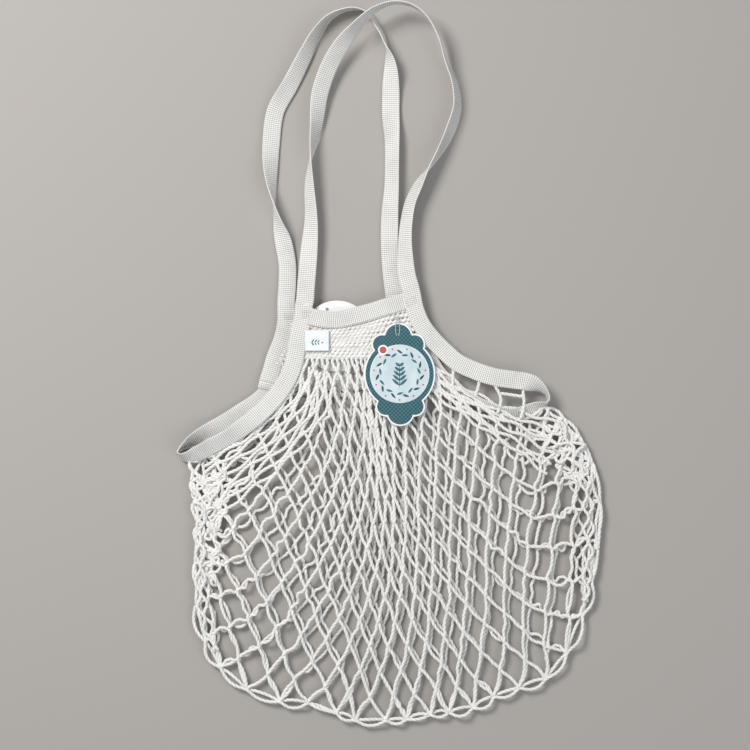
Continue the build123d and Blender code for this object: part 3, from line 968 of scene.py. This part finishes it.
side_left_front = tape_piece(
    "side_left_front",
    flat(left_front_line, FRONT_TAPE_Z, 0) + [(-133.4, -55, FRONT_TAPE_Z, 10)] + left_fold_front,
)
side_left_back_skin = Skin()
ribbon(side_left_back_skin, left_fold_back + left_lap_lower)
ribbon(side_left_back_skin, left_lap_upper + flat(left_back_line, BACK_TAPE_Z, 180))
side_left_back = side_left_back_skin.build("side_left_back", cotton_tape)
side_right_front = tape_piece(
    "side_right_front", flat(right_front_line, FRONT_TAPE_Z, 180) + right_fold_front
)
side_right_back = tape_piece(
    "side_right_back",
    right_fold_back
    + [(103, -42.8, 7.2, 52), (80, -34.4, 7.2, 54), (57, -21, 6.6, 44), (41.5, -7.5, 5.0, 18)]
    + flat(right_back_line, BACK_TAPE_Z, 0),
)
front_handle = tape_piece("front_handle", front_handle_line)
back_handle = tape_piece("back_handle", back_handle_line)
mouth_front = tape_piece(
    "mouth_front",
    [(-74, 44.2, 15.0, 0), (-71, 43.4, 14.7, 0)]
    + flat(front_mouth_line[2:-2], FRONT_TAPE_Z + 0.1, 0)
    + [(10, 57.3, 13.6, 0), (15.5, 58.8, 13.0, 0)],
    width=15.2,
)
mouth_back = tape_piece(
    "mouth_back", flat(back_mouth_line[1:-1], BACK_TAPE_Z - 0.3, 0), width=15.2
)


# ---------------------------------------------------------------- stitches

def stitch(skin, x, y, z, turn, long, radius=0.34):
    """One raised thread stitch."""
    c, s = math.cos(turn), math.sin(turn)
    shape = ((-0.5, -0.35), (-0.42, 0.12), (-0.15, 0.28), (0.15, 0.28), (0.42, 0.12), (0.5, -0.35))
    path = [(x + t * long * c, y + t * long * s, z + h) for t, h in shape]
    skin.tube(smooth(path, 0.5), radius=radius, sides=6, step=0.45, ply=0.1)


def stitch_line(skin, line, z, pitch, long):
    run = smooth(line, 1.0)
    run = even(run, max(2, round(length_of(run) / pitch) + 1))
    for a, b in zip(run, run[1:]):
        turn = math.atan2(b[1] - a[1], b[0] - a[0])
        middle = (a + b) / 2
        stitch(skin, middle[0], middle[1], z, turn, long)


def tack(skin, x, y, turn, z, rows=6, long=8.0, spread=9.0):
    """Dense bar of short stitches side by side."""
    for row in range(rows):
        off = (row / (rows - 1) - 0.5) * spread
        jitter = 0.25 * math.sin(row * 2.4)
        stitch(
            skin, x - off * math.sin(turn) + jitter * math.cos(turn),
            y + off * math.cos(turn), z, turn, long, 0.3,
        )


def tack_piece(name, *places):
    skin = Skin()
    for x, y, degrees, z in places:
        tack(skin, x, y, math.radians(degrees), z)
    return skin.build(name, thread)


front_tacks = tack_piece(
    "front_bar_tack_threads", (-76.5, 46.5, 97, HINGE_Z + 0.25), (17.0, 57.5, 110, HINGE_Z + 0.1)
)
back_tacks = tack_piece("back_bar_tack_threads", (-93.0, 45.0, 95, 4.7), (4.0, 55.0, 112, 4.7))

mouth_stitch_skin = Skin()
stitch_line(
    mouth_stitch_skin,
    [(x + 0.8, y - 6.0) for x, y in front_mouth_line[1:-2]], HINGE_Z + 0.08, 3.1, 2.5,
)
mouth_stitches = mouth_stitch_skin.build("mouth_stitch_threads", thread)

lap_skin = Skin()
lap_turn = math.radians(-14)
for row in (0, 1, 2):
    x, y, z = -113.0 + 0.6 * row, -19.6 + 2.6 * row, 6.1 - 0.12 * row
    for part in (-5.6, -2.8, 0.0, 2.8, 5.6):
        stitch(
            lap_skin, x + part * math.cos(lap_turn), y + part * math.sin(lap_turn),
            z, lap_turn, 2.5,
        )
lap_stitches = lap_skin.build("lap_seam_threads", thread)


# ---------------------------------------------------------------- flat shapes for cards

def plate(skin, outline, bottom, height, bevel=0.12, warp=None):
    """Thin plate over a closed outline, with softened edges; warp(x, y) raises it."""
    outline = np.asarray(outline, float)
    centre = outline.mean(0)
    warp = warp or (lambda x, y: 0.0)
    rings = []
    levels = ((bevel, 0.0), (0.0, bevel), (0.0, height - bevel), (bevel, height))
    for inset, level in levels:
        away = outline - centre
        long = np.linalg.norm(away, axis=1)[:, None]
        ring = centre + away * (1 - inset / np.maximum(long, 0.01))
        rings.append([(x, y, bottom + level + warp(x, y)) for x, y in ring])
    for share in (0.8, 0.55, 0.3, 0.12):
        ring = centre + (outline - centre) * share
        rings.append([(x, y, bottom + height + warp(x, y)) for x, y in ring])
    under = [
        [(x, y, bottom + warp(x, y)) for x, y in centre + (outline - centre) * share]
        for share in (0.12, 0.3, 0.55, 0.8)
    ]
    skin.grid(under + rings, cap=True)


def circle(x, y, radius, count=48, squash=1.0):
    angles = np.arange(count) * 2 * math.pi / count
    return np.column_stack([x + radius * np.cos(angles), y + radius * squash * np.sin(angles)])


TAG_CENTRE = (6.8, -7.7)
TAG_HOLE = (5.0, 27.4)
TAG_HOLE_RADIUS = 2.7
TAG_BOTTOM = 15.3
TAG_TOP = 15.9
PRINT_HEIGHT = 0.05
TAG_LOBES = [
    (0, 0, 31.9), (-1.2, 33.0, 13.0), (-15.8, 26.6, 9.5), (13.4, 26.6, 9.5),
    (0.6, -33.8, 12.8), (-12.6, -29.0, 9.0), (13.8, -29.0, 9.0),
]


def badge(inset, count=180):
    """Outline of the badge, as the farthest reach of its discs in each direction."""
    made = []
    for angle in np.arange(count) * 2 * math.pi / count:
        ray = np.array([math.cos(angle), math.sin(angle)])
        reach = 0.0
        for x, y, radius in TAG_LOBES:
            radius = radius - inset
            along = x * ray[0] + y * ray[1]
            off = abs(x * ray[1] - y * ray[0])
            if off < radius and along + radius > 0:
                reach = max(reach, along + math.sqrt(radius * radius - off * off))
        made.append((TAG_CENTRE[0] + reach * ray[0], TAG_CENTRE[1] + reach * ray[1]))
    return np.array(made)


def plate_piece(name, finish, outline, bottom, height, bevel, smooth_faces=False, warp=None):
    skin = Skin()
    plate(skin, outline, bottom, height, bevel, warp)
    return skin.build(name, finish, smooth_faces)


def ring_plate(skin, outer, inner, bottom, height):
    """Plate between two outlines with the same number of points."""
    levels = [(inner, bottom), (outer, bottom), (outer, bottom + height), (inner, bottom + height)]
    rings = [[(x, y, z) for x, y in outline] for outline, z in levels]
    rings.append(rings[0])
    rings = np.array(rings, float)
    rows, around, _ = rings.shape
    faces, uvs = [], []
    for row in range(rows - 1):
        low, high = (row % 4) * around, ((row + 1) % 4) * around
        for k in range(around):
            n = (k + 1) % around
            faces.append([low + k, low + n, high + n, high + k])
            uvs += [(0, 0), (1, 0), (1, 1), (0, 1)]
    skin.add(rings[:4].reshape(-1, 3), faces, uvs)


def toward(outline, centre, radius):
    """Points on a circle, each in the direction of its partner on an outline."""
    away = outline - np.array(centre)
    away = away / np.linalg.norm(away, axis=1)[:, None]
    return np.array(centre) + away * radius


def leaf(skin, x, y, turn, long, wide, bottom, height=PRINT_HEIGHT):
    t = np.linspace(0, 1, 9)
    half = wide * np.sin(math.pi * t) ** 0.8 * (1 - 0.35 * t)
    xs = np.concatenate([t * long, (t[::-1] * long)[1:-1]])
    ys = np.concatenate([half, -half[::-1][1:-1]])
    c, s = math.cos(turn), math.sin(turn)
    outline = np.column_stack([x + xs * c - ys * s, y + xs * s + ys * c])
    plate(skin, outline, bottom, height, bevel=0.01)


# Hang tag: white card, dotted border, and a pale middle with a sprig in a wreath
tag_outline = badge(0.0)
hole_rim = toward(tag_outline, TAG_HOLE, TAG_HOLE_RADIUS)
card_skin = Skin()
ring_plate(card_skin, tag_outline, hole_rim, TAG_BOTTOM, TAG_TOP - TAG_BOTTOM)
tag_card = card_skin.build("tag_card", tag_rim, smooth_faces=False)

centre_x, centre_y = TAG_CENTRE
border_outline = badge(1.35)
turns = np.arctan2(border_outline[:, 1] - centre_y, border_outline[:, 0] - centre_x)
border_inner = np.column_stack(
    [centre_x + 26.6 * np.cos(turns), centre_y + 0.2 + 26.2 * np.sin(turns)]
)
border_skin = Skin()
ring_plate(border_skin, border_outline, border_inner, TAG_TOP, 0.06)
border = border_skin.build("tag_border_print", tag_border, smooth_faces=False)

middle = plate_piece(
    "tag_middle_print", tag_centre, circle(*TAG_CENTRE, 26.0, 96), TAG_TOP, PRINT_HEIGHT, 0.02
)

print_skin = Skin()
ink_z = TAG_TOP + 0.06
sprig_skin = Skin()
leaf(print_skin, centre_x, centre_y - 13.5, math.pi / 2, 25.0, 0.5, ink_z)
for step in range(5):
    for side in (-1, 1):
        leaf(
            sprig_skin, centre_x, centre_y - 10.2 + 4.3 * step,
            math.pi / 2 - side * 0.85, 9.4 - 1.1 * step, 1.6, ink_z,
        )
WREATH_LEAVES = 22
for i in range(WREATH_LEAVES):
    turn = 2 * math.pi * i / WREATH_LEAVES
    leaf(
        (sprig_skin, print_skin)[i % 2],
        centre_x + 18.6 * math.cos(turn), centre_y + 18.6 * math.sin(turn),
        turn + math.pi / 2 + (0.45, -0.45)[i % 2], 6.4, 1.25, ink_z,
    )
tag_print = print_skin.build("tag_wreath_print", ink_dark, smooth_faces=False)
tag_sprig = sprig_skin.build("tag_sprig_print", ink_teal, smooth_faces=False)

coral_skin = Skin()
BERRIES = 11
for i in range(BERRIES):
    turn = 2 * math.pi * (i + 0.25) / BERRIES
    berry = circle(centre_x + 23.2 * math.cos(turn), centre_y + 23.2 * math.sin(turn), 0.8, 18)
    plate(coral_skin, berry, ink_z, PRINT_HEIGHT, bevel=0.01)
tag_coral = coral_skin.build("tag_berry_print", ink_coral, smooth_faces=False)

STICKER = (TAG_CENTRE[0] - 14.9, TAG_CENTRE[1] + 21.6)
sticker = plate_piece("tag_sticker", tag_rim, circle(*STICKER, 4.6, 48), TAG_TOP + 0.06, 0.16, 0.05)
sticker_dot = plate_piece(
    "tag_sticker_dot", ink_coral, circle(*STICKER, 3.1, 36), TAG_TOP + 0.22, PRINT_HEIGHT, 0.02
)

loop_skin = Skin()
hole_x, hole_y = TAG_HOLE
for side in (-1, 1):
    loop = [
        (hole_x + side * 0.3, hole_y + 1.0, TAG_BOTTOM - 0.4),
        (hole_x + side * 0.7, hole_y - 0.6, TAG_TOP + 0.3),
        (hole_x + side * 1.5, hole_y + 1.6, TAG_TOP + 0.75),
        (hole_x + side * 1.9, hole_y + 6.0, TAG_TOP + 0.75),
        (hole_x + side * 1.2, hole_y + 11.0, TAG_TOP + 0.65),
        (hole_x + side * 0.45, 41.3, TAG_TOP - 0.1),
        (hole_x + side * 0.3, 43.2, TAG_TOP - 1.2),
    ]
    loop_skin.tube(smooth(loop, 0.5), radius=0.42, sides=8, step=0.5, ply=0.0)
tag_loop = loop_skin.build("tag_loop", nylon)

pin_skin = Skin()
pin_line = [(hole_x - 3.5, 43.6, 14.3), (hole_x, 43.5, 14.45), (hole_x + 3.5, 43.4, 14.3)]
pin_skin.tube(smooth(pin_line, 0.5), radius=0.62, sides=10, step=0.5, ply=0.0)
tag_pin = pin_skin.build("tag_pin", nylon)


# Sewn label: a small folded satin ribbon with a plain print
LABEL_CENTRE = (-67.3, 22.3)
LABEL_SIZE = (21.5, 18.6)
LABEL_Z = 15.0
LABEL_THICKNESS = 0.42


def label_lift(x, y):
    """The free lower edge stands a little higher, with a slight roll."""
    t = (LABEL_CENTRE[1] + LABEL_SIZE[1] / 2 - y) / LABEL_SIZE[1]
    return 0.25 * t + 0.35 * math.sin((x - LABEL_CENTRE[0]) / 9.0) * t


label_skin = Skin()
columns, rows = 24, 20
sheet_points, sheet_faces, sheet_uvs = [], [], []
for level in (0.0, LABEL_THICKNESS):
    for row in range(rows + 1):
        for column in range(columns + 1):
            x = LABEL_CENTRE[0] + (column / columns - 0.5) * LABEL_SIZE[0]
            y = LABEL_CENTRE[1] + (0.5 - row / rows) * LABEL_SIZE[1]
            sheet_points.append((x, y, LABEL_Z + level + label_lift(x, y)))
wide = columns + 1
layer = wide * (rows + 1)


for row in range(rows):
    for column in range(columns):
        a = row * wide + column
        coords = [
            (column / columns, row / rows), ((column + 1) / columns, row / rows),
            ((column + 1) / columns, (row + 1) / rows), (column / columns, (row + 1) / rows),
        ]
        corners = [a, a + 1, a + wide + 1, a + wide]
        sheet_faces += [corners, [layer + corner for corner in corners[::-1]]]
        sheet_uvs += coords + coords[::-1]
edge = list(range(wide))
edge += [row * wide + columns for row in range(1, rows + 1)]
edge += [rows * wide + column for column in range(columns - 1, -1, -1)]
edge += [row * wide for row in range(rows - 1, 0, -1)]
for a, b in zip(edge, edge[1:] + edge[:1]):
    sheet_faces.append([b, a, layer + a, layer + b])
    sheet_uvs += [(0, 0), (0.01, 0), (0.01, 0.01), (0, 0.01)]
label_skin.add(sheet_points, sheet_faces, sheet_uvs)
label = label_skin.build("label", satin)


def label_print(name, material_used, shapes):
    skin = Skin()
    for kind, x, y, *sizes in shapes:
        if kind == "dot":
            dot = circle(x, y, sizes[0], 14)
            plate(skin, dot, LABEL_Z + LABEL_THICKNESS, 0.07, 0.01, warp=label_lift)
        else:
            leaf(skin, x, y, *sizes, LABEL_Z + 0.43 + label_lift(x, y))
    return skin.build(name, material_used, smooth_faces=False)


label_sprig = label_print("label_sprig_print", ink_teal, [("leaf", -73.6, 20.6, 0.0, 9.6, 0.3)] + [
    ("leaf", x, 20.6, turn, long, wide)
    for x, long, wide in ((-72.2, 4.2, 0.8), (-69.4, 3.7, 0.75), (-66.8, 3.0, 0.7))
    for turn in (0.9, -0.9)
])
label_accent = label_print("label_accent_print", ink_coral, [("dot", -62.6, 20.6, 0.8)])

label_thread_skin = Skin()
for inset in (2.5, 6.5, 10.5, 14.5, 18.8):
    stitch(label_thread_skin, -78.05 + inset, 32.1, 14.9, 0.0, 2.6)
label_threads = label_thread_skin.build("label_threads", thread)


# Round card inside the mouth
CARD_CENTRE = (-49.5, 26.5)
CARD_RADIUS = 32.0
CARD_BOTTOM = 6.1
CARD_HEIGHT = 0.6


def card_warp(x, y):
    return 0.35 * math.cos((x - CARD_CENTRE[0]) / 26.0) + 0.15 * math.sin(y / 17.0)


inner_card = plate_piece(
    "inner_card_sheet", white_card, circle(*CARD_CENTRE, CARD_RADIUS, 120),
    CARD_BOTTOM, CARD_HEIGHT, 0.15, True, card_warp,
)
# Painted shade: a dark disc on the card stands for the shaded hole near its top.
card_hole_shade = plate_piece(
    "inner_card_hole_shade", ink_dark, circle(-58.5, 50.9, 1.3, 24),
    CARD_BOTTOM + CARD_HEIGHT, 0.12, 0.05, True, card_warp,
)


# ---------------------------------------------------------------- bodies


for piece in (net_front, side_left_front, side_right_front):
    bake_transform(piece)
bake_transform(front_handle)
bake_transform(back_handle)
riders = {
    "root": (
        net_back, net_fold, knit_back, side_left_back, side_right_back, mouth_back,
        back_tacks, lap_stitches,
    ),
    "front_lip": (knit_front, mouth_front, front_tacks, mouth_stitches, label_threads),
    "tag_pin": (tag_pin,),
    "hang_tag": (
        tag_card, border, middle, tag_print, tag_sprig, tag_coral, sticker, sticker_dot, tag_loop,
    ),
    "label": (label, label_sprig, label_accent),
    "inner_card": (inner_card, card_hole_shade),
}
for body, pieces in riders.items():
    for piece in pieces:
        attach(piece, body)

replaced = {
    net_front: ["front_net_upper", "front_net_lower"],
    net_back: ["back_net"],
    net_fold: ["net_side_fold"],
    knit_front: ["front_mouth_knit"],
    knit_back: ["back_mouth_knit"],
    side_left_front: ["left_side_tape_front"],
    side_left_back: ["left_side_tape_back"],
    side_right_front: ["right_side_tape_front"],
    side_right_back: ["right_side_tape_back"],
    mouth_front: ["front_mouth_tape"],
    mouth_back: ["back_mouth_tape"],
    front_handle: ["front_handle_tape"],
    back_handle: ["back_handle_tape"],
    front_tacks: ["front_bar_tacks"],
    back_tacks: ["back_bar_tacks"],
    mouth_stitches: ["front_mouth_stitches"],
    lap_stitches: ["lap_seam_stitches"],
    label_threads: ["label_stitches"],
    tag_pin: ["tag_pin_anchor"],
    tag_card: ["hang_tag_card"],
    tag_loop: ["hang_tag_loop"],
    sticker: ["hang_tag_sticker"],
    label: ["sewn_label"],
    inner_card: ["inner_card"],
}
for piece, nodes in replaced.items():
    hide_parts(*nodes)

pin_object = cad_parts["inner_card_pin"]
pin_object.data.materials.clear()
pin_object.data.materials.append(nylon)


# ---------------------------------------------------------------- floor, light, camera

FLOOR_Z = -0.0006


def stage_floor():
    mesh = bpy.data.meshes.new("floor")
    corners = [(x, y, FLOOR_Z) for x, y in ((-4, -4), (4, -4), (4, 4), (-4, 4))]
    mesh.from_pydata(corners, [], [(0, 1, 2, 3)])
    made, tree, shader = material("floor", (0.40, 0.375, 0.35), 0.75)
    mesh.materials.append(made)
    floor = bpy.data.objects.new("floor", mesh)
    bpy.context.scene.collection.objects.link(floor)


def area_light(name, place, size, power, color):
    data = bpy.data.lights.new(name, "AREA")
    data.shape = "DISK"
    data.size = size
    data.energy = power
    data.color = color
    light = bpy.data.objects.new(name, data)
    light.location = place
    aim = -np.array(place)
    tilt = math.atan2(math.hypot(aim[0], aim[1]), -aim[2])
    light.rotation_euler = (tilt, 0, math.atan2(aim[1], aim[0]) - math.pi / 2)
    bpy.context.scene.collection.objects.link(light)


stage_floor()
area_light("key", (-0.95, 0.85, 1.5), 0.75, 30.0, (1.0, 0.985, 0.96))
area_light("fill", (1.2, -0.7, 1.6), 1.6, 9.0, (0.93, 0.96, 1.0))

bpy.context.scene.view_settings.view_transform = "Standard"
world = bpy.data.worlds.new("world")
world.use_nodes = True
world.node_tree.nodes["Background"].inputs["Color"].default_value = (0.93, 0.96, 1.0, 1)
world.node_tree.nodes["Background"].inputs["Strength"].default_value = 0.42
bpy.context.scene.world = world

CAMERA_HEIGHT = 1.75
FIELD = 0.675  # width in view at the height of the net's middle
NET_MIDDLE_Z = 0.009
SENSOR = 36
camera_data = bpy.data.cameras.new("camera")
camera_data.sensor_width = SENSOR
camera_data.lens = SENSOR * (CAMERA_HEIGHT - NET_MIDDLE_Z) / FIELD
camera = bpy.data.objects.new("camera", camera_data)
camera.location = (-0.0153, -0.00855, CAMERA_HEIGHT)
bpy.context.scene.collection.objects.link(camera)
bpy.context.scene.camera = camera
